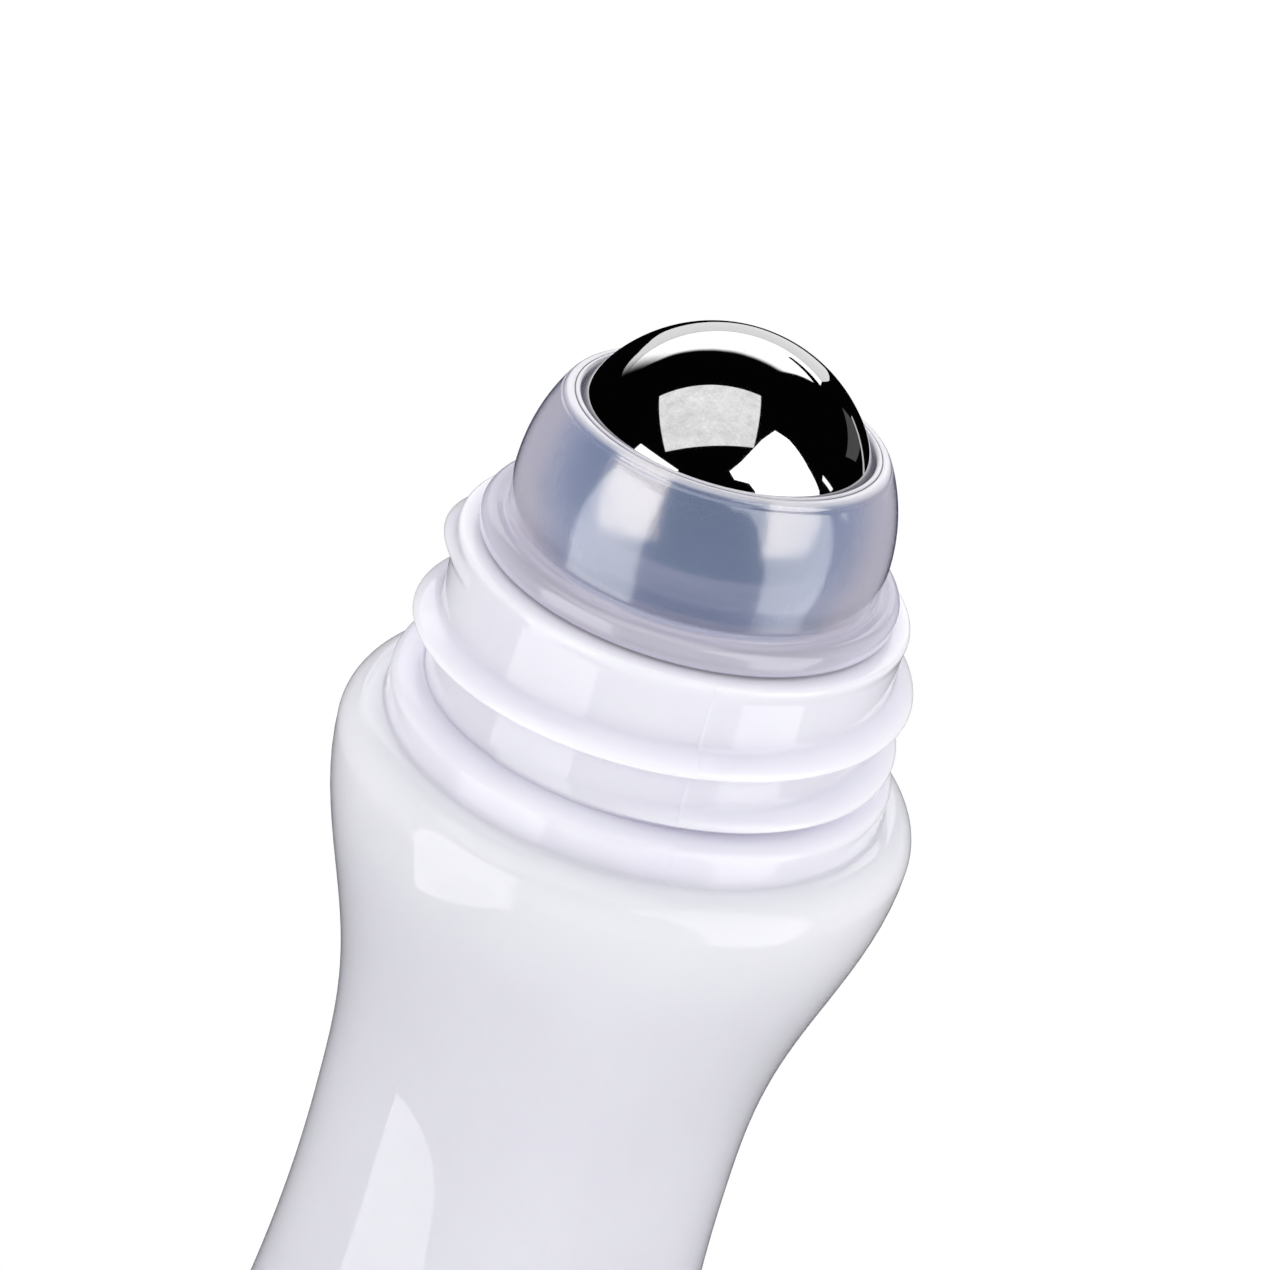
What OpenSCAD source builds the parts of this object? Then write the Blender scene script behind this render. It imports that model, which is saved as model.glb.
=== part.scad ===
// Roll-on bottle: blow-moulded waisted bottle, snap-in ball housing and steel ball.
// Millimetres, +Z up, origin at the centre of the base. Front of the thread faces -Y.

/* [Ball] */
// Diameter of the steel ball
ball_d = 20; // [19.5:0.1:21]
// Height of the ball above the housing's lip
ball_proud = 5.65; // [4.5:0.05:6.5]
// Radial running clearance between ball and socket
ball_clearance = 0.1; // [0.05:0.01:0.2]

/* [Ball housing] */
// Height of the lip above the flange's underside
housing_h = 10.45; // [9:0.05:12]
// Wall between the socket and the dome's outside
dome_wall = 1.9; // [1.4:0.1:2.4]
// Drop of the dome's widest circle below the lip
dome_drop = 6.4; // [5.5:0.1:7]
// Inward draft of the dome between its widest circle and the flange
dome_draft = 0.1; // [0:0.05:0.3]
// Radial grip of the lip over the ball
lip_grip = 0.65; // [0.5:0.05:0.75]
// Width of the rounded top of the lip
lip_w = 0.8; // [0.5:0.1:1]
// Width of the flange beyond the dome
flange_w = 1.4; // [1.1:0.1:1.8]
// Thickness of the flange
flange_t = 1.85; // [1.6:0.05:2.4]
// Radius of the flange's rounded edge
flange_round = 0.75; // [0.4:0.05:0.9]
// Depth of the dish in the flange's top
flange_dish = 0.15; // [0.05:0.05:0.4]
// Radial distance from the ball to the outside of the plug
plug_margin = 2.25; // [2:0.05:2.5]
// Length of the plug below the flange
plug_len = 8; // [6:0.5:10]
// Wall of the plug
plug_wall = 1.2; // [0.9:0.1:1.5]
// Gap between the plug's wall and the bore of the neck
plug_gap = 0.25; // [0.15:0.05:0.4]
// Squeeze of the sealing ribs in the bore of the neck
rib_squeeze = 0.05; // [0.02:0.01:0.1]
// Number of sealing ribs on the plug
rib_count = 2; // [1:1:3]
// Distance between sealing ribs
rib_pitch = 2.4; // [1.8:0.1:2.8]
// Half height of a sealing rib
rib_r = 0.5; // [0.4:0.05:0.6]
// Wall of the cup that carries the ball
cup_wall = 1.1; // [0.9:0.1:1.4]
// Diameter of the feed hole under the ball
feed_hole_d = 10; // [8:0.5:11]
// Number of drain slots round the feed hole
drain_count = 4; // [3:1:6]
// Width of a drain slot
drain_w = 2; // [1.2:0.1:2.5]
// Length of a drain slot beyond the feed hole
drain_len = 2.2; // [1.5:0.1:2.6]

/* [Bottle body] */
// Height of the bottle without its fittings
bottle_h = 89.6; // [84:0.2:100]
// Wall of the bottle
wall = 1.2; // [0.9:0.1:1.6]
// Diameter of the shoulder
shoulder_d = 37.7; // [36.5:0.1:40]
// Radius of the shoulder's rounded edge
shoulder_round = 2.5; // [1.8:0.1:2.6]
// Diameter at the waist
waist_d = 28.3; // [27:0.1:32]
// Height of the waist above the base
waist_z = 46.5; // [40:0.5:52]
// Diameter at the heel
heel_d = 35.6; // [33:0.2:38]
// Radius of the heel
heel_round = 3.2; // [2:0.1:4]
// Width of the ring that the bottle stands on
foot_w = 2.4; // [1.5:0.1:3]
// Rise of the pushed-up base
push_up = 2.2; // [1:0.1:3]

/* [Neck] */
// Height of the neck above the shoulder
neck_h = 12.9; // [12:0.1:14]
// Wall of the neck between thread turns
neck_wall = 1.9; // [1.5:0.1:2.2]
// Radial step of the rim beyond the neck
rim_step = 0.1; // [0.05:0.05:0.4]
// Height of the rim
rim_h = 1.1; // [0.8:0.1:1.6]
// Radius of the rim's outer edge
rim_round = 0.3; // [0.2:0.05:0.6]
// Width of the bead beyond the neck
bead_w = 1.95; // [1.6:0.05:2.4]
// Height of the bead with its rounded top
bead_h = 2.6; // [2.3:0.1:3]
// Height of the bead's straight outer edge
bead_edge = 1.7; // [1.2:0.1:2.1]
// Height of the groove between bead and shoulder
groove_h = 0.2; // [0.1:0.05:0.4]
// Depth of the groove under the bead's edge
groove_depth = 0.4; // [0.2:0.1:0.8]

/* [Thread] */
// Depth of the thread
thread_depth = 1.55; // [1.2:0.05:1.9]
// Pitch of the thread
thread_pitch = 4.1; // [3.8:0.05:4.4]
// Axial width of the thread's steep upper flank
thread_top_w = 0.5; // [0.4:0.05:0.9]
// Axial width of the thread's lower flank
thread_low_w = 1.25; // [0.9:0.05:1.6]
// Drop of the crest below the rim where the thread crosses +X
thread_drop = 4.65; // [4.3:0.05:4.9]
// Angle from +X up to the thread's upper end
thread_up = 210; // [180:5:230]
// Angle from +X down to the thread's lower end
thread_down = 525; // [500:5:540]
// Angle over which each end of the thread fades out
thread_fade = 65; // [40:5:80]
// Rise of the thread's upper end as it fades out
thread_lift = 0.6; // [0:0.1:1]

/* [Hidden] */
$fn = 96;

// Overrun that keeps cuts clear of the faces they open
over = 1;
// Steps along the flares, along an arc and along one turn of the thread
flare_steps = 24;
arc_steps = 8;
turn_steps = 36;
thread_sides = 10;
// Powers that shape the flares from the waist up and from the waist down
upper_power = 1.4;
lower_power = 1.1;
// Angle on the lip's rounding at which it meets the dome
lip_start_a = 60;
// Depth to which the thread's foot is sunk in the neck's wall
thread_sink = 0.35;
// Share of the thread's width that is left at its ends
thread_end_share = 0.5;

lip_z = bottle_h + housing_h;
ball_r = ball_d / 2;
ball_z = lip_z + ball_proud - ball_r;
socket_r = ball_r + ball_clearance;
dome_r = socket_r + dome_wall;
dome_z = lip_z - dome_drop;
cup_r = socket_r + cup_wall;
lip_mouth_r = ball_r - lip_grip;
flange_r = dome_r + flange_w;
flange_top_z = bottle_h + flange_t;
plug_r = ball_r + plug_margin;
plug_bore_r = plug_r - plug_wall;
feed_r = feed_hole_d / 2;
shoulder_z = bottle_h - neck_h;
shoulder_r = shoulder_d / 2;
shoulder_side_z = shoulder_z - shoulder_round;
waist_r = waist_d / 2;
heel_r = heel_d / 2;
mouth_r = plug_r + plug_gap;
neck_r = mouth_r + neck_wall;
rim_r = neck_r + rim_step;
bead_r = neck_r + bead_w;
bead_low_z = shoulder_z + groove_h;
foot_r = heel_r - heel_round;
push_r = foot_r - foot_w;

// Points of an arc round c from angle a0 to angle a1
function arc(c, r, a0, a1, n = arc_steps) =
    [for (i = [0:n]) let (a = a0 + (a1 - a0) * i / n) c + r * [cos(a), sin(a)]];

// Share that falls from 1 to 0 as t goes from 0 to 1, level at both ends
function fall(t) = (1 + cos(180 * t)) / 2;

// Points in the opposite order
function reverse(points) = [for (i = [len(points) - 1:-1:0]) points[i]];

// Flare from 0 at the waist to 1 at its end, level at both ends
function flare(t, power) = 1 - fall(pow(t, power));

// Radius of the body at height z between heel and shoulder, less an inset
function body_r(z, inset = 0) =
    let (
        up = (z - waist_z) / (shoulder_side_z - waist_z),
        down = (waist_z - z) / (waist_z - heel_round)
    )
    up > 0
    ? waist_r - inset + (shoulder_r - waist_r) * flare(up, upper_power)
    : waist_r - inset + (heel_r - waist_r) * flare(down, lower_power);

// Points up the side of the body, less an inset
function side(z0, z1, inset = 0) =
    [for (i = [0:flare_steps]) let (z = z0 + (z1 - z0) * i / flare_steps) [body_r(z, inset), z]];

// Points over the bead's rounded top, a quarter of an ellipse from its outer edge in to the neck
function bead_side() =
    [for (i = [0:arc_steps])
        let (a = 90 * i / arc_steps)
        [neck_r + (bead_r - neck_r) * cos(a), bead_low_z + bead_edge + (bead_h - bead_edge) * sin(a)]];

// Points across the pushed-up base, from the centre outwards
function base(lift = 0) =
    [for (i = [0:arc_steps])
        let (t = i / arc_steps)
        [push_r * t, lift + push_up * fall(t)]];

// Outside of the bottle from the centre of the base up to the rim
function outside() = concat(
    base(),
    arc([foot_r, heel_round], heel_round, -90, 0),
    side(heel_round, waist_z),
    side(waist_z, shoulder_side_z),
    arc([shoulder_r - shoulder_round, shoulder_side_z], shoulder_round, 0, 90),
    [
        [bead_r - groove_depth, shoulder_z],
        [bead_r - groove_depth, bead_low_z],
        [bead_r, bead_low_z]
    ],
    bead_side(),
    [
        [neck_r, bottle_h - rim_h],
        [rim_r, bottle_h - rim_h]
    ],
    arc([rim_r - rim_round, bottle_h - rim_round], rim_round, 0, 90)
);

// Inside of the bottle from the rim down to the centre of the base
function inside() = concat(
    [
        [mouth_r, bottle_h],
        [mouth_r, shoulder_z - wall]
    ],
    arc([shoulder_r - shoulder_round, shoulder_side_z], shoulder_round - wall, 90, 0),
    reverse(side(waist_z, shoulder_side_z, wall)),
    reverse(side(heel_round, waist_z, wall)),
    arc([foot_r, heel_round], heel_round - wall, 0, -90),
    reverse(base(wall))
);

// Share that rises from 0 at an end of the thread to 1 at the angle fade from it
function thread_share(a, fade) = 1 - fall(min(1, a / fade));

// A ridge with a steep upper flank along the right-hand helix, faded out at both ends below the rim
module thread() {
    sweep = thread_up + thread_down;
    rings = ceil(sweep / 360 * turn_steps);
    points = [
        for (i = [0:rings], j = [0:thread_sides - 1])
        let (
            a = sweep * i / rings,
            turn = a - thread_down,
            u = 2 * j / thread_sides - 1,
            wave = fall(abs(u)),
            share = thread_share(min(a, sweep - a), thread_fade),
            r = neck_r - thread_sink + (thread_sink + thread_depth * share) * wave,
            w = (u < 0 ? thread_low_w : thread_top_w) * (thread_end_share + (1 - thread_end_share) * share),
            lift = thread_lift * (1 - thread_share(sweep - a, 2 * thread_fade)),
            mid_z = bottle_h - thread_drop + thread_pitch * turn / 360 + lift,
            z = min(mid_z + w * u, bottle_h - rim_round)
        )
        [r * cos(turn), r * sin(turn), z]
    ];
    skins = [
        for (i = [0:rings - 1], j = [0:thread_sides - 1])
        let (
            k = (j + 1) % thread_sides,
            a = i * thread_sides + j,
            b = i * thread_sides + k,
            c = b + thread_sides,
            d = a + thread_sides
        )
        each [[a, b, c], [a, c, d]]
    ];
    first_end = [for (j = [thread_sides - 1:-1:0]) j];
    last_end = [for (j = [0:thread_sides - 1]) rings * thread_sides + j];
    polyhedron(points, concat(skins, [first_end, last_end]));
}

module bottle() {
    color("white")
    union() {
        rotate_extrude() polygon(concat(outside(), inside()));
        thread();
    }
}

// Outside of the housing above the neck: dished flange, foot of the dome, dome, lip and mouth
function housing_top() =
    let (
        foot_z = flange_top_z - flange_dish,
        lip_a = asin((dome_drop - lip_w / 2) / dome_r),
        lip_c = [lip_mouth_r + lip_w / 2, lip_z - lip_w / 2]
    )
    concat(
        arc([flange_r - flange_round, bottle_h + flange_round], flange_round, -90, 0),
        arc([flange_r - flange_round, flange_top_z - flange_round], flange_round, 0, 90),
        [[dome_r - dome_draft, foot_z]],
        arc([0, dome_z], dome_r, 0, lip_a, flare_steps),
        arc(lip_c, lip_w / 2, lip_start_a, 180),
        [[lip_mouth_r, ball_z]]
    );

module ball_housing() {
    color("lavender", 0.6)
    difference() {
        union() {
            // Dome, lip and flange
            rotate_extrude() polygon(concat(housing_top(), [[0, ball_z], [0, bottle_h]]));
            // Plug in the neck
            translate([0, 0, bottle_h - plug_len]) cylinder(r = plug_r, h = plug_len + over);
            // Sealing ribs
            for (i = [0:rib_count - 1])
                translate([0, 0, bottle_h - plug_len / 2 + rib_pitch * (i - (rib_count - 1) / 2)])
                    rotate_extrude() translate([mouth_r + rib_squeeze - rib_r, 0]) circle(r = rib_r);
        }
        plug_core();
        // Socket that the ball turns in
        translate([0, 0, ball_z]) sphere(r = socket_r);
    }
}

// Hollow inside the plug, round the cup
module plug_core() {
    difference() {
        translate([0, 0, bottle_h - plug_len - over])
            cylinder(r = plug_bore_r, h = plug_len + flange_t + over);
        difference() {
            translate([0, 0, ball_z]) sphere(r = cup_r);
            translate([0, 0, bottle_h - plug_len - over]) cylinder(r = feed_r, h = plug_len + over);
            for (i = [0:drain_count - 1])
                rotate([0, 0, 360 * i / drain_count])
                    translate([0, -drain_w / 2, bottle_h - plug_len - over])
                        cube([feed_r + drain_len, drain_w, plug_len + over]);
        }
    }
}

module roller_ball() {
    color("silver")
    translate([0, 0, ball_z]) sphere(r = ball_r);
}

bottle();
ball_housing();
roller_ball();
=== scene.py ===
import math
import bpy
import numpy as np
from mathutils import Matrix


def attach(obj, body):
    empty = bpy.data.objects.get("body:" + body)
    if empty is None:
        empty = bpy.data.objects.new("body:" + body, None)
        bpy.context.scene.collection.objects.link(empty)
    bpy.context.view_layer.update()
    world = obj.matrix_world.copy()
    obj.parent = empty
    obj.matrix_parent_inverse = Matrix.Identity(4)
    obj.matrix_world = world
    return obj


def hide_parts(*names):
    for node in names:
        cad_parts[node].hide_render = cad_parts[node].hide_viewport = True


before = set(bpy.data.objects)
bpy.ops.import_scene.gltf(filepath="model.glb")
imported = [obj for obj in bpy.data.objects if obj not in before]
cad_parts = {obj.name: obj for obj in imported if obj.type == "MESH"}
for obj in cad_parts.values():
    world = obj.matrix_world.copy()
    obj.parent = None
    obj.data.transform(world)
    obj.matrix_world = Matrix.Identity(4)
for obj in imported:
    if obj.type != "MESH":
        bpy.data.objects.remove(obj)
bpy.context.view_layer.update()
mm = 0.001
samePoint = 1e-5  # points closer than this, in millimetres, are one
white = (1, 1, 1, 1)
print("frame loaded:", sorted(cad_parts))


# arc of radius r round the point c, from angle a0 to a1 in degrees, as n + 1 points (radius, height)
def arcPoints(c, r, a0, a1, n):
    a = np.radians(np.linspace(a0, a1, n + 1))
    return np.stack([c[0] + r * np.cos(a), c[1] + r * np.sin(a)], 1)


# straight run from p to q as n + 1 points
def linePoints(p, q, n):
    t = np.linspace(0, 1, n + 1)[:, None]
    return np.asarray(p, float) * (1 - t) + np.asarray(q, float) * t


# half a cosine wave: falls from 1 to 0 as t goes from 0 to 1, level at both ends
def fall(t):
    return (1 + np.cos(np.pi * np.clip(t, 0, 1))) / 2


# one path from several runs, with the points that repeat taken out
def joinRuns(*runs):
    path = np.concatenate([np.asarray(run, float).reshape(-1, 2) for run in runs])
    step = np.hypot(*np.diff(path, axis=0).T)
    return path[np.concatenate([[True], step > samePoint])]


# rows of points round the Z axis: radius and height per row and column, turned by the column's angle
def turnedGrid(radius, height, angle):
    return np.stack([radius * np.cos(angle), radius * np.sin(angle), height + 0 * angle], 2)


# four-cornered faces between rows of vertex numbers that close round the axis
def ringQuads(low, high):
    return np.stack([low, np.roll(low, -1, 1), np.roll(high, -1, 1), high], 2)


# mesh object from points in millimetres, linked to the scene
def newObject(name, points, faces, material):
    mesh = bpy.data.meshes.new(name)
    mesh.from_pydata((np.asarray(points, float) * mm).tolist(), [], faces)
    mesh.materials.append(material)
    piece = bpy.data.objects.new(name, mesh)
    bpy.context.scene.collection.objects.link(piece)
    return piece


# closed surface through a grid of points: rows follow the section, columns close round the axis;
# a row whose points all meet becomes one vertex, a pole, and without poles the last row joins the first
def gridPiece(name, points, body, node, material):
    rows, columns = points.shape[:2]
    isRing = np.ptp(points, axis=1).max(axis=1) > samePoint
    firstOf = np.concatenate([[0], np.cumsum(np.where(isRing, columns, 1))])
    index = firstOf[:-1, None] + np.where(isRing[:, None], np.arange(columns)[None], 0)
    vertices = np.concatenate([row if ring else row[:1] for row, ring in zip(points, isRing)])
    lowRow = np.arange(rows) if isRing.all() else np.arange(rows - 1)
    highRow = (lowRow + 1) % rows
    quads = ringQuads(index[lowRow], index[highRow])
    between = isRing[lowRow] & isRing[highRow]
    faces = quads[between].reshape(-1, 4).tolist()
    for i in np.where(~between)[0]:
        corners = [0, 1, 2] if isRing[lowRow[i]] else [1, 2, 3]
        faces += quads[i][:, corners].tolist()
    piece = newObject(name, vertices, faces, material)
    piece.data.polygons.foreach_set("use_smooth", np.ones(len(faces), bool))
    piece.data.update()
    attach(piece, body)
    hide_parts(node)
    print(name, len(faces), "faces")
    return piece


# a shader value: the operators add Math nodes to the board that it belongs to
class Wire:
    def __init__(self, board, socket):
        self.board, self.socket = board, socket

    def maths(self, operation, *values):
        return self.board.add("ShaderNodeMath", {"operation": operation}, dict(enumerate(values))).wire(0)

    def __add__(self, other): return self.maths("ADD", self, other)
    def __radd__(self, other): return self.maths("ADD", other, self)
    def __sub__(self, other): return self.maths("SUBTRACT", self, other)
    def __rsub__(self, other): return self.maths("SUBTRACT", other, self)
    def __mul__(self, other): return self.maths("MULTIPLY", self, other)
    def __rmul__(self, other): return self.maths("MULTIPLY", other, self)
    def __truediv__(self, other): return self.maths("DIVIDE", self, other)
    def __pow__(self, other): return self.maths("POWER", self, other)
    def __gt__(self, other): return self.maths("GREATER_THAN", self, other)
    def __abs__(self): return self.maths("ABSOLUTE", self)
    def minimum(self, other): return self.maths("MINIMUM", self, other)
    def maximum(self, other): return self.maths("MAXIMUM", self, other)

    # 0 below low, 1 above high, smooth in between
    def smooth(self, low, high):
        settings = {"interpolation_type": "SMOOTHSTEP"}
        sockets = {"Value": self, "From Min": low, "From Max": high}
        return self.board.add("ShaderNodeMapRange", settings, sockets).wire(0)


# a node with its board, so that its outputs come back as wires
class Part:
    def __init__(self, board, node):
        self.board, self.node = board, node

    def wire(self, name):
        return Wire(self.board, self.node.outputs[name])


# one node tree; add() makes any node from its type, its settings and its socket values
class Board:
    def __init__(self, tree):
        self.tree = tree
        tree.nodes.clear()

    def add(self, kind, settings=None, sockets=None):
        node = self.tree.nodes.new(kind)
        for key, value in (settings or {}).items():
            setattr(node, key, value)
        for key, value in (sockets or {}).items():
            if isinstance(value, Wire):
                self.tree.links.new(value.socket, node.inputs[key])
            else:
                node.inputs[key].default_value = value
        return Part(self, node)

    def colour(self, share, first, second, blend="MIX"):
        settings = {"data_type": "RGBA", "blend_type": blend}
        return self.add("ShaderNodeMix", settings, {0: share, 6: first, 7: second}).wire(2)

    def mixShaders(self, share, first, second):
        return self.add("ShaderNodeMixShader", None, {0: share, 1: first, 2: second}).wire("Shader")

    def place(self, scale=(1, 1, 1)):
        spot = self.add("ShaderNodeTexCoord").wire("Object")
        return self.add("ShaderNodeMapping", None, {"Vector": spot, "Scale": scale}).wire("Vector")

    # distance from the axis and height in millimetres
    def radiusAndHeight(self, spot):
        split = self.add("ShaderNodeSeparateXYZ", None, {"Vector": spot})
        radius = (split.wire("X") ** 2.0 + split.wire("Y") ** 2.0) ** 0.5 / mm
        return radius, split.wire("Z") / mm

    def noise(self, spot, scale, detail=2.0, roughness=0.5):
        sockets = {"Vector": spot, "Scale": scale, "Detail": detail, "Roughness": roughness}
        return self.add("ShaderNodeTexNoise", None, sockets).wire("Fac")

    def bump(self, strength, distance, height):
        sockets = {"Strength": strength, "Distance": distance, "Height": height}
        return self.add("ShaderNodeBump", None, sockets).wire("Normal")

    def glow(self, strength):
        return self.add("ShaderNodeEmission", None, {"Color": white, "Strength": strength}).wire("Emission")

    def shade(self, shader, target="ShaderNodeOutputMaterial"):
        self.add(target, None, {"Surface": shader})


def newMaterial(name):
    material = bpy.data.materials.new(name)
    material.use_nodes = True
    return material, Board(material.node_tree)


# sizes in millimetres and degrees
bottleSizes = dict(
    height=89.6, wall=1.2, columns=228,
    shoulderR=18.84, shoulderRound=2.5, waistR=14.15, waistZ=46.5, heelR=17.8, heelRound=3.2,
    upperPower=1.4, lowerPower=1.1,  # how far from the waist the side stays slim
    footWidth=2.4, pushUp=2.2,
    neckHeight=12.9, neckR=14.4, mouthR=12.5, mouthRound=0.08, boreRound=0.3,
    rimR=14.5, rimHeight=1.1, rimRound=0.3,
    beadR=16.35, beadHeight=2.8, beadEdge=1.85, beadFillet=0.3, beadMargin=0.1,
    # the mould's parting line, lower on the body, stops short of the shoulder's widest ring and of the rim
    partingAngle=-75.8, partingHalfWidth=0.5, partingHeight=0.03, partingOnBody=0.3,
    partingInset=0.05, partingDrop=0.1,
    # the thread's crest lies the drop under the rim at angle 0, and runs up and down from there
    thread=dict(
        depth=1.55, sink=0.35, topWidth=1.6, lowWidth=1.05, blend=0.45, pitch=3.9, drop=4.7,
        up=210, down=484, topFade=58, lowFade=95, lift=0.8, endShare=0.7, capHeight=0.5,
    ),
    # points along each run of the section
    basePoints=15, sidePoints=64, innerPoints=40,
    # steps along each arc or straight run
    heelSteps=10, shoulderSteps=16, filletSteps=6, beadWallSteps=5, beadSteps=12, neckSteps=130, rimSteps=8,
    mouthSteps=3, boreSteps=6, innerShoulderSteps=6, innerHeelSteps=5,
)


# radius of the body at height z: the waist's radius plus a flare up to the shoulder or down to the heel,
# level at both ends
def bodyRadius(z, s, inset=0.0):
    shoulderSide = s["height"] - s["neckHeight"] - s["shoulderRound"]
    up = np.clip((z - s["waistZ"]) / (shoulderSide - s["waistZ"]), 0, 1) ** s["upperPower"]
    down = np.clip((s["waistZ"] - z) / (s["waistZ"] - s["heelRound"]), 0, 1) ** s["lowerPower"]
    upper = (s["shoulderR"] - s["waistR"]) * (1 - fall(up))
    lower = (s["heelR"] - s["waistR"]) * (1 - fall(down))
    return s["waistR"] + upper + lower - inset


# radius of the thread at each angle and height: half a cosine wave down each flank, gentle above the crest and
# steep below it, carried up a right-hand helix that fades out at both ends and rounds off under the rim;
# where turns overlap, the highest counts
def threadRadius(angle, z, s):
    t = s["thread"]
    sweep = t["up"] + t["down"]
    foot = s["neckR"] - t["sink"]
    highest = np.full(np.broadcast(angle, z).shape, foot)
    for turnNumber in range(-2, 2):  # enough for all that lies between down and up
        turn = np.degrees(angle) + 360 * turnNumber
        along = turn + t["down"]
        share = 1 - fall(np.minimum(along / t["lowFade"], (sweep - along) / t["topFade"]))
        lift = t["lift"] * fall((sweep - along) / (2 * t["topFade"]))
        middle = s["height"] - t["drop"] + t["pitch"] * turn / 360 + lift
        width = np.where(z > middle, t["topWidth"], t["lowWidth"])
        wave = fall(np.abs(z - middle) / (width * (t["endShare"] + (1 - t["endShare"]) * share)))
        crest = foot + (t["sink"] + t["depth"] * share) * wave
        inside = (along > 0) & (along < sweep)
        highest = np.where(inside, np.maximum(highest, crest), highest)
    top = np.clip(1 - (s["height"] - s["rimRound"] - z) / t["capHeight"], 0, 1)
    return foot + (highest - foot) * np.sqrt(1 - top ** 2)


# the larger of two radii, with a round fillet where they come within the blend of each other
def smoothLarger(a, b, blend):
    near = np.clip(blend - np.abs(a - b), 0, None)
    return np.maximum(a, b) + near ** 2 / (4 * blend)


# section of the bottle: from the centre of the base up the outside and over the rim, and back down the inside
def bottleSection(s):
    shoulderZ = s["height"] - s["neckHeight"]
    sideZ = shoulderZ - s["shoulderRound"]
    shoulderCentre = (s["shoulderR"] - s["shoulderRound"], sideZ)
    heelCentre = (s["heelR"] - s["heelRound"], s["heelRound"])
    pushR = heelCentre[0] - s["footWidth"]
    t = np.linspace(0, 1, s["basePoints"])
    # hollow fillet between the shoulder and the bead: its centre lies its radius out from the bead's wall
    fillet, margin = s["beadFillet"], s["beadMargin"]
    filletR = s["beadR"] + fillet
    shoulderEnd = math.degrees(math.acos((filletR - shoulderCentre[0]) / s["shoulderRound"]))
    beadLow = sideZ + s["shoulderRound"] * math.sin(math.radians(shoulderEnd)) + fillet
    edgeZ = shoulderZ + s["beadEdge"]
    beadAngle = np.radians(np.linspace(0, 90, s["beadSteps"] + 1))
    bead = np.stack([
        s["neckR"] + (s["beadR"] - s["neckR"]) * np.cos(beadAngle),
        edgeZ + (s["beadHeight"] - s["beadEdge"]) * np.sin(beadAngle),
    ], 1)
    side = np.linspace(s["heelRound"], sideZ, s["sidePoints"])
    rimLow, rimRound = s["height"] - s["rimHeight"], s["rimRound"]
    rimRamp = np.stack([
        s["rimR"] - (s["rimR"] - s["neckR"]) * fall(t),
        rimLow + (s["rimHeight"] - rimRound) * t,
    ], 1)
    outside = joinRuns(
        np.stack([pushR * t, s["pushUp"] * fall(t)], 1),
        arcPoints(heelCentre, s["heelRound"], -90, 0, s["heelSteps"]),
        np.stack([bodyRadius(side, s), side], 1),
        arcPoints(shoulderCentre, s["shoulderRound"], 0, shoulderEnd, s["shoulderSteps"]),
        arcPoints((filletR, beadLow), fillet, 270, 180, s["filletSteps"]),
        linePoints((s["beadR"], beadLow + margin), (s["beadR"], edgeZ - margin), s["beadWallSteps"]),
        bead,
        linePoints((s["neckR"], shoulderZ + s["beadHeight"]), (s["neckR"], rimLow), s["neckSteps"]),
        rimRamp,
        arcPoints((s["rimR"] - rimRound, s["height"] - rimRound), rimRound, 0, 90, s["rimSteps"]),
    )
    edge, corner = s["mouthRound"], s["boreRound"]
    boreEnd = shoulderZ - s["wall"] + corner
    inner = np.linspace(sideZ, s["heelRound"], s["innerPoints"])
    inside = joinRuns(
        arcPoints((s["mouthR"] + edge, s["height"] - edge), edge, 90, 180, s["mouthSteps"]),
        linePoints((s["mouthR"], s["height"] - edge), (s["mouthR"], boreEnd), s["boreSteps"]),
        arcPoints((s["mouthR"] + corner, boreEnd), corner, 180, 270, s["mouthSteps"]),
        arcPoints(shoulderCentre, s["shoulderRound"] - s["wall"], 90, 0, s["innerShoulderSteps"]),
        np.stack([bodyRadius(inner, s, s["wall"]), inner], 1),
        arcPoints(heelCentre, s["heelRound"] - s["wall"], 0, -90, s["innerHeelSteps"]),
        np.stack([pushR * t[::-1], s["wall"] + s["pushUp"] * fall(t[::-1])], 1)[::2],
    )
    return outside, inside


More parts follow.
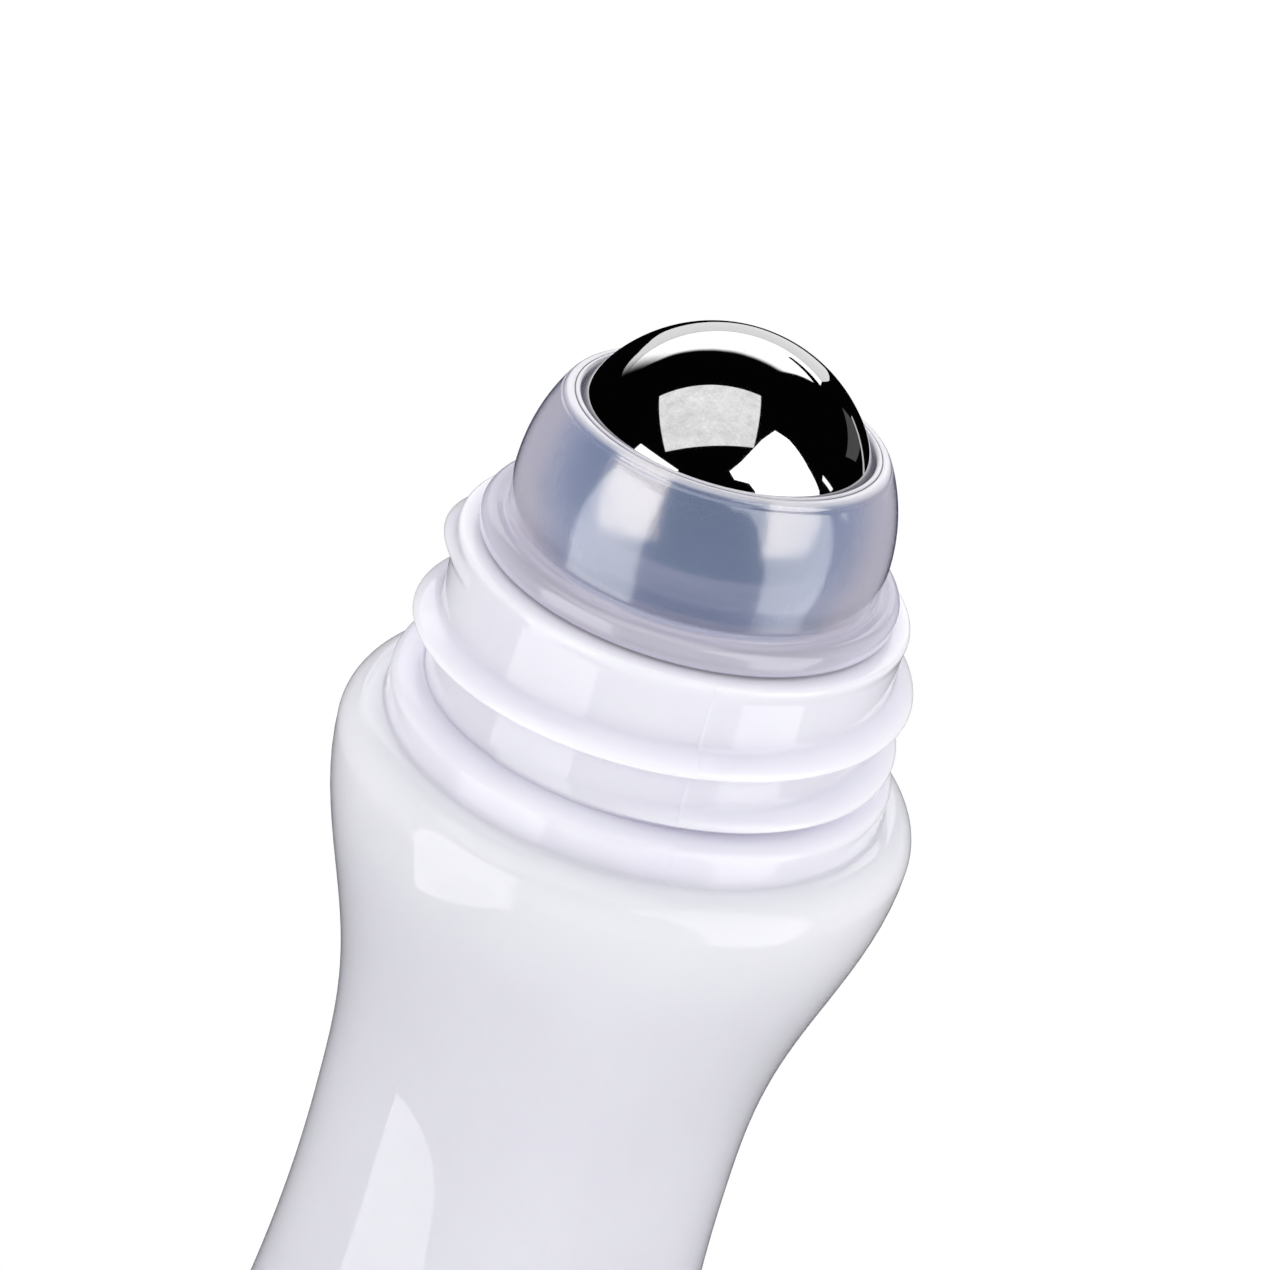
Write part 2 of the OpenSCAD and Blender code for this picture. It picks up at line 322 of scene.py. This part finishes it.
def buildBottle(material):
    s = bottleSizes
    outside, inside = bottleSection(s)
    section = joinRuns(outside, inside)
    isOutside = np.arange(len(section)) < len(outside)
    sectionR, sectionZ = section.T
    shoulderZ = s["height"] - s["neckHeight"]
    # columns round the axis: even steps, with five more across each parting line
    across = s["partingHalfWidth"] * np.array([[-1, -0.5, 0, 0.5, 1]])
    seams = s["partingAngle"] + np.array([[0], [180]]) + across
    even = np.linspace(-180, 180, s["columns"], endpoint=False)
    angle = np.radians(np.unique(np.round(np.concatenate([even, seams.ravel()]), 3)))[None, :]
    radius = np.repeat(sectionR[:, None], angle.size, 1)
    height = np.repeat(sectionZ[:, None], angle.size, 1)
    onNeck = isOutside & (sectionZ > shoulderZ + s["beadEdge"]) & (sectionZ < s["height"] - s["rimRound"])
    thread = threadRadius(angle, height[onNeck], s)
    radius[onNeck] = smoothLarger(radius[onNeck], thread, s["thread"]["blend"])
    # parting line of the mould: a fine ridge up both sides, half a cosine wave to each side
    off = np.abs((np.degrees(angle) - s["partingAngle"] + 90) % 180 - 90) / s["partingHalfWidth"]
    ridge = s["partingHeight"] * fall(off) * np.where(height > shoulderZ, 1.0, s["partingOnBody"])
    upright = isOutside & (sectionZ > 2 * s["heelRound"]) & (sectionZ < s["height"] - s["partingDrop"])
    upright &= sectionR < s["shoulderR"] - s["partingInset"]
    radius[upright] += ridge[upright]
    grid = turnedGrid(radius, height, angle)
    gridPiece("bottle_shell", grid, "container", "bottle", material)


housingSizes = dict(
    columns=192, ballZ=95.7, socketR=10.1, cupR=11.2, mouthR=9.35,
    domeR=12.0, domeZ=93.65, domeTurn=29.5, footR=11.9, footZ=91.3, footRound=0.22, footRise=0.3, taper=0.01,
    flangeR=13.4, flangeTop=91.45, flangeLow=89.6, flangeRound=0.75, flangeSlope=10, flangeFillet=0.1,
    # the lip's two rings: centre as (radius, height), radius, and the angles at which the arc starts and ends
    outerRing=((9.87, 99.45), 0.52, 12, 110), innerRing=((9.52, 99.87), 0.18, -20, 180),
    mouthTop=99.82, mouthLow=99.56,
    plugR=12.25, plugBoreR=11.05, plugLow=81.6, plugRound=0.3, boreChamfer=0.1,
    ribR=0.5, ribCentreR=12.05, ribTurn=66, ribReach=0.6, ribZ=(84.4, 86.8),
    feedR=5.0, slotCount=4, slotHalfWidth=1.0, slotReach=7.2,
    # where the closer columns at a slot start and end, in degrees from its corner and its mouth
    cornerBefore=0.2, cornerAfter=0.6, sideStart=1, mouthPast=0.1,
    # steps along each arc or straight run
    plugSteps=4, ribSteps=8, filletSteps=3, flangeSteps=8, dishSteps=10, footSteps=5, wallSteps=8, domeSteps=30,
    ringSteps=12, mouthSteps=3, socketSteps=44, cupSteps=24, boreSteps=10,
)


# distance of the feed hole's edge from the axis at each angle: the hole's radius, or the end or side of a slot
# that opens into it
def feedEdge(angle, s):
    turn = 2 * np.pi / s["slotCount"]
    off = np.abs((angle + turn / 2) % turn - turn / 2)
    end = s["slotReach"] / np.cos(off)
    side = s["slotHalfWidth"] / np.maximum(np.sin(off), samePoint)
    return np.maximum(s["feedR"], np.minimum(end, side))


# columns round the housing: even steps, with three more at each corner of a slot and four along its side
def housingAngles(s):
    even = np.linspace(0, 360, s["columns"], endpoint=False)
    corner = math.degrees(math.atan2(s["slotHalfWidth"], s["slotReach"]))
    mouth = math.degrees(math.asin(s["slotHalfWidth"] / s["feedR"]))
    fine = np.concatenate([
        np.linspace(corner - s["cornerBefore"], corner + s["cornerAfter"], 3),
        np.linspace(corner + s["sideStart"], mouth + s["mouthPast"], 4),
    ])
    both = np.concatenate([fine, -fine])
    slots = (np.arange(s["slotCount"]) * 360 / s["slotCount"])[:, None] + both[None]
    return np.radians(np.unique(np.round(np.concatenate([even, slots.ravel() % 360]), 3)))


# outside of the housing: from the plug's lower end up over the ribs, the flange, the dome and the lip
def housingOutside(s):
    plugR, plugEnd, fillet = s["plugR"], s["plugRound"], s["flangeFillet"]
    flangeR, flangeRound, slope = s["flangeR"] - s["flangeRound"], s["flangeRound"], s["flangeSlope"]
    footR, footRound, ribTurn = s["footR"], s["footRound"], s["ribTurn"]
    return joinRuns(
        arcPoints((plugR - plugEnd, s["plugLow"] + plugEnd), plugEnd, -90, 0, s["plugSteps"]),
        *[arcPoints((s["ribCentreR"], z), s["ribR"], -ribTurn, ribTurn, s["ribSteps"]) for z in s["ribZ"]],
        linePoints((plugR, s["ribZ"][-1] + s["ribReach"]), (plugR, s["flangeLow"] - fillet), s["plugSteps"]),
        arcPoints((plugR + fillet, s["flangeLow"] - fillet), fillet, 180, 90, s["filletSteps"]),
        arcPoints((flangeR, s["flangeLow"] + flangeRound), flangeRound, -90, 0, s["flangeSteps"]),
        arcPoints((flangeR, s["flangeTop"] - flangeRound), flangeRound, 0, 90 + slope, s["dishSteps"]),
        arcPoints((footR + footRound, s["footZ"] + footRound), footRound, 270 + slope, 180, s["footSteps"]),
        linePoints((footR + s["taper"], s["footZ"] + s["footRise"]), (s["domeR"], s["domeZ"]), s["wallSteps"]),
        arcPoints((0, s["domeZ"]), s["domeR"], 0, s["domeTurn"], s["domeSteps"]),
        arcPoints(*s["outerRing"], s["ringSteps"]),
        arcPoints(*s["innerRing"], s["ringSteps"]),
        linePoints((s["mouthR"] - s["taper"], s["mouthTop"]), (s["mouthR"], s["mouthLow"]), s["mouthSteps"]),
    )


# bore of the plug, from under the cup down to the plug's lower end
def housingBore(s):
    boreR, plugEnd, chamfer = s["plugBoreR"], s["plugRound"], s["boreChamfer"]
    return joinRuns(
        linePoints((boreR - chamfer, s["flangeTop"]), (boreR, s["flangeTop"] - chamfer), 1),
        linePoints((boreR, s["flangeTop"] - 2 * chamfer), (boreR, s["plugLow"] + plugEnd), s["boreSteps"]),
        arcPoints((boreR + plugEnd, s["plugLow"] + plugEnd), plugEnd, 180, 270, s["plugSteps"]),
    )


def buildHousing(material):
    s = housingSizes
    angle = housingAngles(s)[None, :]
    edgeR = feedEdge(angle, s)

    def run(points):
        return np.repeat(points[:, :1], angle.size, 1), np.repeat(points[:, 1:], angle.size, 1)

    # part of a sphere round the ball's centre, from the polar angle a to the polar angle b of each column
    def shell(r, a, b, n):
        polar = a + (b - a) * np.linspace(0, 1, n + 1)[:, None]
        return r * np.sin(polar), s["ballZ"] + r * np.cos(polar)

    socketTop = math.asin(s["mouthR"] / s["socketR"])
    socketEnd = np.pi - np.arcsin(edgeR / s["socketR"])
    cupEnd = np.pi - np.arcsin(edgeR / s["cupR"])
    cupTop = math.pi - math.acos((s["ballZ"] - s["flangeTop"]) / s["cupR"])
    runs = [
        run(housingOutside(s)),
        shell(s["socketR"], socketTop, socketEnd, s["socketSteps"]),
        shell(s["cupR"], cupEnd, cupTop, s["cupSteps"]),
        run(housingBore(s)),
    ]
    radius = np.concatenate([r for r, z in runs])
    height = np.concatenate([z for r, z in runs])
    grid = turnedGrid(radius, height, angle)
    piece = gridPiece("housing_moulding", grid, "container", "ball_housing", material)
    piece.visible_shadow = False  # light passes the translucent wall


ballSizes = dict(radius=9.995, z=95.7, rows=128, columns=256)


# sphere with its poles on the Y axis, so that they stay inside the housing
def buildBall(material):
    s = ballSizes
    polar = np.linspace(0, np.pi, s["rows"] + 1)[:, None]
    angle = np.linspace(0, 2 * np.pi, s["columns"], endpoint=False)[None, :]
    radius, along = s["radius"] * np.sin(polar), -s["radius"] * np.cos(polar)
    radius[[0, -1]] = 0
    x, z, y = np.moveaxis(turnedGrid(radius, along, angle), 2, 0)
    grid = np.stack([x, -y, z + s["z"]], 2)
    gridPiece("steel_ball", grid, "ball", "roller_ball", material)


# colours are linear, heights and radii in millimetres, depths and the scatter's scale in metres, and each noise
# has its scale and its detail
milkyPlastic = dict(
    thick=(0.785, 0.778, 0.85, 1), thin=(0.73, 0.72, 0.80, 1), wallRise=(66, 75),
    cloud=(0.965, 0.96, 0.975, 1), cloudNoise=(60, 3), cloudRange=(0.3, 0.7), cloudRoughness=0.02,
    # gap colour, radii and heights: painted shade on the rim under the flange
    gapShade=(0.58, 0.56, 0.63, 1), gapShadeR=(12.9, 13.3), gapShadeZ=(89.4, 89.55),
    roughness=0.02, ior=1.46, scatter=0.85, scatterRadius=(1.0, 0.9, 1.0), scatterScale=0.0028,
    ripple=0.15, rippleDepth=0.00004, rippleNoise=(170, 1), skinNoise=(700, 2), skinShare=0.06,
    scuffStretch=(1, 1, 0.15), scuffNoise=(2600, 1), scuffRange=(0.70, 0.76), scuffRoughness=0.08,
)


def paintBottle():
    s = milkyPlastic
    material, board = newMaterial("milky_plastic")
    spot = board.place()
    cloud = board.noise(spot, *s["cloudNoise"])
    skin = board.noise(spot, *s["skinNoise"])
    wave = board.noise(spot, *s["rippleNoise"])
    scuffs = board.noise(board.place(s["scuffStretch"]), *s["scuffNoise"]).smooth(*s["scuffRange"])
    radius, height = board.radiusAndHeight(spot)
    # the thin wall of the body lets light through and looks a little darker than the thick neck and shoulder
    wall = board.colour(height.smooth(*s["wallRise"]), s["thin"], s["thick"])
    clouded = board.colour(cloud.smooth(*s["cloudRange"]), wall, s["cloud"], "MULTIPLY")
    # painted shade: the rim is darkened under the flange's overhang, since the housing casts no shadow
    gapShade = (1 - radius.smooth(*s["gapShadeR"])) * height.smooth(*s["gapShadeZ"])
    shader = board.add("ShaderNodeBsdfPrincipled", None, {
        "Base Color": board.colour(gapShade, clouded, s["gapShade"]),
        "Roughness": s["roughness"] + s["cloudRoughness"] * cloud + s["scuffRoughness"] * scuffs,
        "IOR": s["ior"],
        "Normal": board.bump(s["ripple"], s["rippleDepth"], wave + s["skinShare"] * skin),
        "Subsurface Weight": s["scatter"],
        "Subsurface Radius": s["scatterRadius"],
        "Subsurface Scale": s["scatterScale"],
    })
    board.shade(shader.wire("BSDF"))
    return material


clearPlastic = dict(
    tint=(0.98, 0.91, 0.83, 1), roughness=0.15, cloudNoise=(160, 3), cloudRoughness=0.05, ior=1.49,
    skin=0.11, skinIor=1.9,  # the glossy surface, as a coat
    streaks=0.6, streakDepth=0.00002, streakStretch=(1, 1, 0.05), streakNoise=(3800, 2), cloudBump=2.0,
    haze=(0.33, 0.44, 0.73, 1), thickHaze=(0.61, 0.59, 0.70, 1), lipHaze=(0.88, 0.87, 0.93, 1),
    # crease colour and rise, groove radius and half width: painted shade in the lip's groove and under the
    # flange
    creaseShade=(0.10, 0.09, 0.12, 1), creaseShadeRise=(89.66, 89.85), grooveR=9.70, grooveHalfWidth=0.07,
    flangeRise=(91.2, 92.0), lipRise=(99.6, 99.95), lipThickness=0.6,
    hazeShare=0.17, grazingShare=0.75, thickShare=0.45, mostShare=0.95, evenShare=0.9, cloudShare=0.2,
    facingBlend=0.5, grazingPower=1.5, grazingRange=(0.05, 0.4), limb=(0.72, 0.95),
)


def paintHousing():
    s = clearPlastic
    material, board = newMaterial("translucent_plastic")
    spot = board.place()
    cloud = board.noise(spot, *s["cloudNoise"])
    drawn = board.noise(board.place(s["streakStretch"]), *s["streakNoise"])
    normal = board.bump(s["streaks"], s["streakDepth"], drawn + s["cloudBump"] * cloud)
    clear = board.add("ShaderNodeBsdfPrincipled", None, {
        "Base Color": s["tint"], "Roughness": s["roughness"] + s["cloudRoughness"] * cloud, "IOR": s["ior"],
        "Transmission Weight": 1.0, "Coat Weight": 1.0, "Coat Roughness": s["skin"], "Coat IOR": s["skinIor"],
        "Normal": normal,
    })
    # the longer a glance runs inside the plastic, the milkier it looks: at grazing angles, in the flange and in
    # the lip; only the outermost edge of the dome is clear again
    facing = board.add("ShaderNodeLayerWeight", None, {"Blend": s["facingBlend"]}).wire("Facing")
    radius, height = board.radiusAndHeight(spot)
    lip, flange = height.smooth(*s["lipRise"]), 1 - height.smooth(*s["flangeRise"])
    grazing = facing ** s["grazingPower"] * (1 - facing.smooth(*s["limb"]) * (1 - flange))
    milkiness = (flange + grazing.smooth(*s["grazingRange"])).minimum(1.0)
    haze = board.colour(lip, board.colour(milkiness, s["haze"], s["thickHaze"]), s["lipHaze"])
    # painted shade: a shaded line in the lip's groove and a shaded band under the flange, where the housing
    # casts no shadow of its own
    offGroove = abs(radius - s["grooveR"]).smooth(0.0, s["grooveHalfWidth"])
    paintedShade = (lip * (1 - offGroove)).maximum(1 - height.smooth(*s["creaseShadeRise"]))
    milky = board.add("ShaderNodeBsdfPrincipled", None, {
        "Base Color": board.colour(paintedShade, haze, s["creaseShade"]),
        "Roughness": s["skin"], "IOR": s["ior"], "Normal": normal,
    })
    thick = s["lipThickness"] * lip + flange
    share = (s["hazeShare"] + s["grazingShare"] * grazing + s["thickShare"] * thick).minimum(s["mostShare"])
    uneven = s["evenShare"] + s["cloudShare"] * cloud
    board.shade(board.mixShaders(share * uneven, clear.wire("BSDF"), milky.wire("BSDF")))
    return material


mirrorSteel = dict(
    colour=(0.72, 0.715, 0.72, 1), worn=(0.56, 0.555, 0.56, 1), roughness=0.025, filmRoughness=0.015,
    pitScale=2600, pitRange=(0.08, 0.2), patchNoise=(700, 2), patchRange=(0.52, 0.62), pitShare=0.9,
    grainNoise=(5200, 2), grainRange=(0.35, 0.75), grainShare=0.35,
    filmNoise=(240, 4), filmRange=(0.35, 0.8), filmShare=0.25,
)


def paintBall():
    s = mirrorSteel
    material, board = newMaterial("mirror_steel")
    spot = board.place()
    cells = board.add("ShaderNodeTexVoronoi", {"feature": "F1"}, {"Vector": spot, "Scale": s["pitScale"]})
    patches = board.noise(spot, *s["patchNoise"]).smooth(*s["patchRange"])
    pits = (1 - cells.wire("Distance").smooth(*s["pitRange"])) * patches
    grain = board.noise(spot, *s["grainNoise"]).smooth(*s["grainRange"])
    film = board.noise(spot, *s["filmNoise"]).smooth(*s["filmRange"])
    wear = (s["grainShare"] * grain + s["filmShare"] * film + s["pitShare"] * pits).minimum(1.0)
    shader = board.add("ShaderNodeBsdfPrincipled", None, {
        "Base Color": board.colour(wear, s["colour"], s["worn"]), "Metallic": 1.0,
        "Roughness": s["roughness"] + s["filmRoughness"] * film,
    })
    board.shade(shader.wire("BSDF"))
    return material


# each corner is azimuth and elevation seen from the ball's centre, with azimuth 0 at the front and positive to
# the right
studioSizes = dict(
    centre=(0, 0, 95.7), ambient=0.55,
    roomRadius=1900, roomShade=0.001, roomRows=17, roomColumns=36,
    floorRadius=2500, floorColour=(0.9, 0.9, 0.9, 1), shadowRadius=(24, 44),
    cards={
        "left_softbox": dict(distance=620, strength=2.1, corners=(
            (-65, 23), (-79, -45), (-28, -36), (-28, 24.5))),
        "right_softbox": dict(distance=620, strength=1.9, corners=(
            (70, 59.5), (47, 57.5), (33, 52), (20, 43), (11, 35.5), (16, 30.5), (28, 29), (33, 24), (43, -4),
            (46, -30), (80, -30), (86, 15), (82, 30), (78, 50))),
        "right_strip": dict(distance=600, strength=1.6, corners=(
            (90.8, 18.8), (92.5, 21), (98.8, 10.5), (96, 10.5))),
        "right_gleam": dict(distance=640, strength=0.09, corners=((121, 14), (148, 12), (149, -1), (130, 5))),
        "right_line": dict(distance=600, strength=0.7, corners=((138, -6), (152, 3), (150, 4.5), (136, -4))),
        "sweep_notch": dict(distance=690, strength=0.0, corners=(
            (149, 23.5), (149, 28.5), (166, 27.5), (166, 25))),
    },
    # two soft lamps behind the set, which light the shoulder and aren't seen in reflections
    backLamps={
        "left_back_lamp": dict(distance=560, strength=1.8, corners=(
            (-100, 10), (-100, 60), (-150, 60), (-150, 10))),
        "right_back_lamp": dict(distance=560, strength=1.5, corners=(
            (100, 10), (150, 10), (150, 60), (100, 60))),
    },
)


def stagePiece(name, points, faces, material, **seen):
    piece = newObject(name, points, faces, material)
    for ray in ("camera", "diffuse", "glossy", "transmission", "shadow"):
        setattr(piece, "visible_" + ray, seen.get(ray, True))
    return piece


# unit vectors from the ball's centre, from arrays of azimuth and elevation in degrees
def towards(azimuth, elevation):
    a, e = np.radians(azimuth), np.radians(elevation)
    return np.stack([np.sin(a) * np.cos(e), -np.cos(a) * np.cos(e), np.sin(e)], -1)


# flat polygon: each corner's direction is carried out to the plane square to their mean direction
def buildCard(name, card, material, **seen):
    way = towards(*np.array(card["corners"], float).T)
    middle = way.mean(0) / np.linalg.norm(way.mean(0))
    corners = np.array(studioSizes["centre"], float) + way * (card["distance"] / (way @ middle))[:, None]
    stagePiece(name, corners, [tuple(range(len(corners)))], material, camera=False, **seen)


def paintGlow(name, strength, tone=None):
    material, board = newMaterial(name)
    board.shade(board.glow(strength * tone(board) if tone else strength))
    return material


# only a ray that has been reflected sees the second shader
def byReflection(board, direct, reflected):
    halfBounce = 0.5  # the depth counts whole bounces
    isReflected = board.add("ShaderNodeLightPath").wire("Glossy Depth") > halfBounce
    return board.mixShaders(isReflected, direct, reflected)


# 1 for a ray that looks, from the camera, off a gloss or through plastic, and 0 for one that gathers light
def lookingRay(board):
    path = board.add("ShaderNodeLightPath")
    camera, gloss, through = (path.wire("Is " + ray + " Ray") for ray in ("Camera", "Glossy", "Transmission"))
    return (camera + gloss + through).minimum(1.0)


panelSizes = dict(
    distance=700, strength=1.12, corners=((-94, 44.5), (-44.5, 30), (34, 53), (122.5, 75)),
    level=0.62, cloudShare=0.62, cloudNoise=(7, 4, 0.65),
    fleckShare=0.12, fleckNoise=(45, 2), fleckRange=(0.5, 0.7),
)


# brightness of the overhead panel: clouds and small pale flecks
def panelTone(board):
    s = panelSizes
    spot = board.place()
    flecks = board.noise(spot, *s["fleckNoise"]).smooth(*s["fleckRange"])
    return s["level"] + s["cloudShare"] * board.noise(spot, *s["cloudNoise"]) + s["fleckShare"] * flecks


sweepSizes = dict(
    # behind the set: azimuth, lower edge and upper edge of the white sweep
    distance=760, strength=1.5, shape=(
        (-128, 16, 26), (-135, 14, 34), (-147, 12, 42), (-155, 8, 46), (-165, 0, 49), (-180, -7, 51),
        (-190, -7, 51), (-200, 8, 50), (-203, 14, 49), (-205, 19, 45), (-209, 24, 31)),
    columns=60, rows=30, topFade=5, sideFade=16,
    mapDegrees=100.0,  # the map holds elevation as a share of this
    lowTone=0.62, lowEdge=(17.0, 19.5), lineTone=0.25, lineStart=(17.0, 18.0), lineEnd=(18.5, 19.5),
)


# brightness of the sweep: white, with a thin grey line low down, darker under it, and fading out at the edges
def sweepTone(board):
    s = sweepSizes
    where = board.add("ShaderNodeSeparateXYZ", None, {"Vector": board.add("ShaderNodeUVMap").wire("UV")})
    elevation, edge = where.wire("X") * s["mapDegrees"], where.wire("Y")
    above = (1 - s["lowTone"]) * elevation.smooth(*s["lowEdge"])
    line = elevation.smooth(*s["lineStart"]) * (1 - elevation.smooth(*s["lineEnd"]))
    return (s["lowTone"] + above - s["lineTone"] * line) * edge.smooth(0.0, 1.0)


def buildSweep():
    s = sweepSizes
    shape = np.array(s["shape"], float)[::-1]
    azimuth = np.linspace(shape[0, 0], shape[-1, 0], s["columns"])
    low, high = (np.interp(azimuth, shape[:, 0], shape[:, column]) for column in (1, 2))
    elevation = low + (high - low) * np.linspace(0, 1, s["rows"])[:, None]
    way = towards(azimuth + 0 * elevation, elevation)
    points = np.array(studioSizes["centre"], float) + way * s["distance"]
    index = np.arange(elevation.size).reshape(elevation.shape)
    quads = np.stack([index[:-1, :-1], index[:-1, 1:], index[1:, 1:], index[1:, :-1]], 2).reshape(-1, 4)
    material = paintGlow("sweep_glow", s["strength"], sweepTone)
    seen = dict(camera=False, transmission=False)
    piece = stagePiece("back_sweep", points.reshape(-1, 3), quads.tolist(), material, **seen)
    # the map also holds how far the point is from the fading edges
    fade = np.minimum((high - elevation) / s["topFade"], (shape[-1, 0] - azimuth) / s["sideFade"])
    pairs = np.stack([elevation / s["mapDegrees"], np.clip(fade, 0, 1)], 2).reshape(-1, 2)
    layer = piece.data.uv_layers.new(name="glow_map")
    layer.uv.foreach_set("vector", pairs[quads.ravel()].ravel().astype(np.float32))


def buildLamps():
    s = studioSizes
    for name, card in s["cards"].items():
        buildCard(name, card, paintGlow(name + "_glow", card["strength"]))
    for name, card in s["backLamps"].items():
        buildCard(name, card, paintGlow(name + "_glow", card["strength"]), glossy=False, transmission=False)
    buildCard("top_panel", panelSizes, paintGlow("panel_glow", panelSizes["strength"], panelTone))
    buildSweep()
    print("lamps built")


# dark room round the set, seen only in reflections
def buildRoom():
    s = studioSizes
    polar = np.linspace(0, np.pi, s["roomRows"] + 2)[1:-1, None]
    angle = np.linspace(0, 2 * np.pi, s["roomColumns"], endpoint=False)[None]
    points = turnedGrid(s["roomRadius"] * np.sin(polar), s["roomRadius"] * np.cos(polar), angle)
    index = np.arange(polar.size * angle.size).reshape(polar.size, angle.size)
    quads = ringQuads(index[:-1], index[1:]).reshape(-1, 4).tolist()
    caps = [index[0].tolist(), index[-1].tolist()]
    material, board = newMaterial("room_shade")
    clear = board.add("ShaderNodeBsdfTransparent").wire("BSDF")
    board.shade(byReflection(board, clear, board.glow(s["roomShade"])))
    seen = dict(camera=False, diffuse=False, shadow=False)
    stagePiece("dark_room", points.reshape(-1, 3), quads + caps, material, **seen)
    print("room built")


# pale floor: near the bottle it shows the shadow, further out it is plain white, and reflections pass it by
def buildFloor():
    s = studioSizes
    material, board = newMaterial("floor_paint")
    away = board.radiusAndHeight(board.place())[0]
    matt = board.add("ShaderNodeBsdfDiffuse", None, {"Color": s["floorColour"]}).wire("BSDF")
    both = board.mixShaders(lookingRay(board) * away.smooth(*s["shadowRadius"]), matt, board.glow(1.0))
    clear = board.add("ShaderNodeBsdfTransparent").wire("BSDF")
    board.shade(byReflection(board, both, clear))
    r = s["floorRadius"]
    corners = [(-r, -r, 0), (r, -r, 0), (r, r, 0), (-r, r, 0)]
    stagePiece("floor", corners, [(0, 1, 2, 3)], material, glossy=False, shadow=False)
    print("floor built")


# soft light from all round, which looks plain white
def buildWorld():
    world = bpy.data.worlds.new("studio_world")
    world.use_nodes = True
    bpy.context.scene.world = world
    board = Board(world.node_tree)
    soft = studioSizes["ambient"]
    tone = board.colour(lookingRay(board), (soft, soft, soft, 1), white)
    background = board.add("ShaderNodeBackground", None, {"Color": tone, "Strength": 1.0})
    board.shade(background.wire("Background"), "ShaderNodeOutputWorld")
    print("world built")


cameraSizes = dict(
    place=(-1.951, -223.5, 198.49), elevation=27.09, roll=16.09, lens=113.39, sensor=36,
    nearest=0.01, farthest=20,  # of what the camera sees, in metres
)


def buildCamera():
    s = cameraSizes
    e, r = math.radians(s["elevation"]), math.radians(s["roll"])
    upright = np.array([0, math.sin(e), math.cos(e)])
    right = np.array([math.cos(r), 0, 0]) + math.sin(r) * upright
    up = np.array([-math.sin(r), 0, 0]) + math.cos(r) * upright
    back = np.array([0, -math.cos(e), math.sin(e)])
    data = bpy.data.cameras.new("camera")
    data.lens, data.sensor_width = s["lens"], s["sensor"]
    data.clip_start, data.clip_end = s["nearest"], s["farthest"]
    camera = bpy.data.objects.new("camera", data)
    bpy.context.scene.collection.objects.link(camera)
    rows = [(*axes, p * mm) for axes, p in zip(zip(right, up, back), s["place"])]
    camera.matrix_world = Matrix(rows + [(0, 0, 0, 1)])
    bpy.context.scene.camera = camera
    print("camera placed")


buildBottle(paintBottle())
buildHousing(paintHousing())
buildBall(paintBall())
buildLamps()
buildRoom()
buildFloor()
buildWorld()
buildCamera()
bpy.context.scene.view_settings.view_transform = "Standard"
